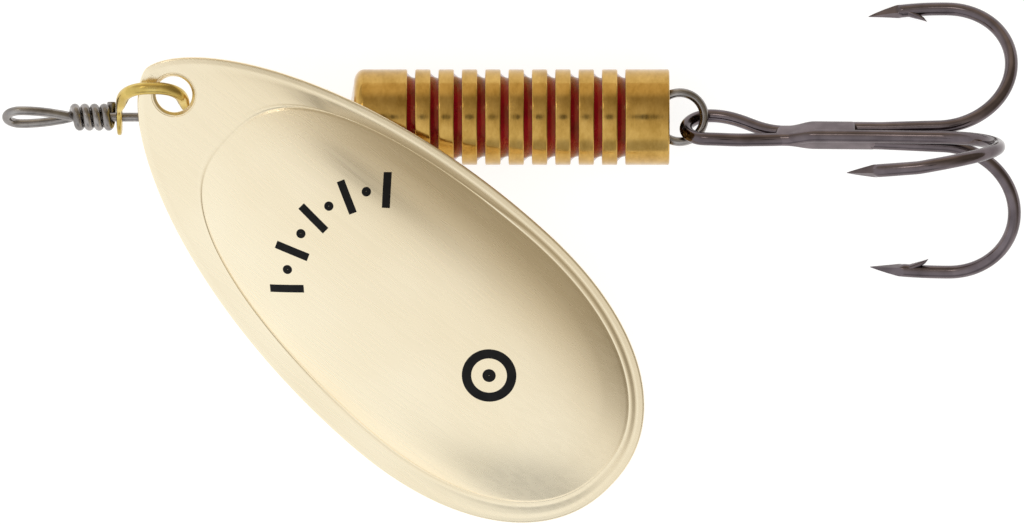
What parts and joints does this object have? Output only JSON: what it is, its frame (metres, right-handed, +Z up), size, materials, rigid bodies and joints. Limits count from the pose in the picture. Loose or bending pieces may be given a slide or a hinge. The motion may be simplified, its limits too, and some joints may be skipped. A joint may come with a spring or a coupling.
{
  "type": "inline spinner",
  "caption": "Spinning fishing lure: an oval blade on a stirrup turns round a wire shaft ahead of a grooved brass body and a treble hook.",
  "frame": {"origin": "middle of the lure's footprint, on the surface that it lies on", "axes": "+X along the shaft from the line eye towards the treble hook; +Z up, out of the surface that the lure lies on; the blade lies towards -Y"},
  "size_m": [0.0914, 0.0468, 0.0221],
  "materials": {
    "shaft_wire": "bright drawn stainless wire",
    "clevis_brass": "bright yellow brass",
    "blade_gold": "pale champagne gold plate, satin over fine brush lines",
    "bead_brass": "turned brass",
    "body_brass": "turned and lacquered brass",
    "red_enamel": "glossy dark red enamel",
    "hook_wire": "black nickel plated hook wire",
    "hook_braze": "black nickel plated braze"
  },
  "bodies": {
    "shaft": {"shaft_wire": "shaft_wire"},
    "clevis": {"clevis": "clevis_brass"},
    "blade": {"blade": "blade_gold"},
    "front_bead": {"bearing_bead_front": "bead_brass"},
    "mid_bead": {"bearing_bead_mid": "bead_brass"},
    "rear_bead": {"bearing_bead_rear": "bead_brass"},
    "body": {"lure_body": "body_brass", "groove_enamel": "red_enamel"},
    "treble": {"treble_eyed_hook": "hook_wire", "treble_upper_hook": "hook_wire", "treble_lower_hook": "hook_wire", "treble_braze": "hook_braze"}
  },
  "joints": [
    {"name": "clevis_spin", "type": "hinge", "parent": "shaft", "child": "clevis", "pos_m": [-0.03211, 0.0131, 0.00431], "axis": [1, 0, 0], "continuous": true},
    {"name": "blade_flare", "type": "hinge", "parent": "clevis", "child": "blade", "pos_m": [-0.02983, 0.01509, 0.00832], "axis": [-0.6572, -0.5842, 0.4762], "range_deg": [0, 88]},
    {"name": "front_bead_spin", "type": "hinge", "parent": "shaft", "child": "front_bead", "pos_m": [-0.02684, 0.0131, 0.00431], "axis": [1, 0, 0], "continuous": true},
    {"name": "mid_bead_spin", "type": "hinge", "parent": "shaft", "child": "mid_bead", "pos_m": [-0.02267, 0.0131, 0.00431], "axis": [1, 0, 0], "continuous": true},
    {"name": "rear_bead_spin", "type": "hinge", "parent": "shaft", "child": "rear_bead", "pos_m": [-0.0175, 0.0131, 0.00431], "axis": [1, 0, 0], "continuous": true},
    {"name": "body_spin", "type": "hinge", "parent": "shaft", "child": "body", "pos_m": [-0.00037, 0.0131, 0.00431], "axis": [1, 0, 0], "continuous": true},
    {"name": "treble_swing", "type": "hinge", "parent": "shaft", "child": "treble", "pos_m": [0.01514, 0.0131, 0.00431], "axis": [0, 0, 1], "range_deg": [-40, 50]}
  ]
}
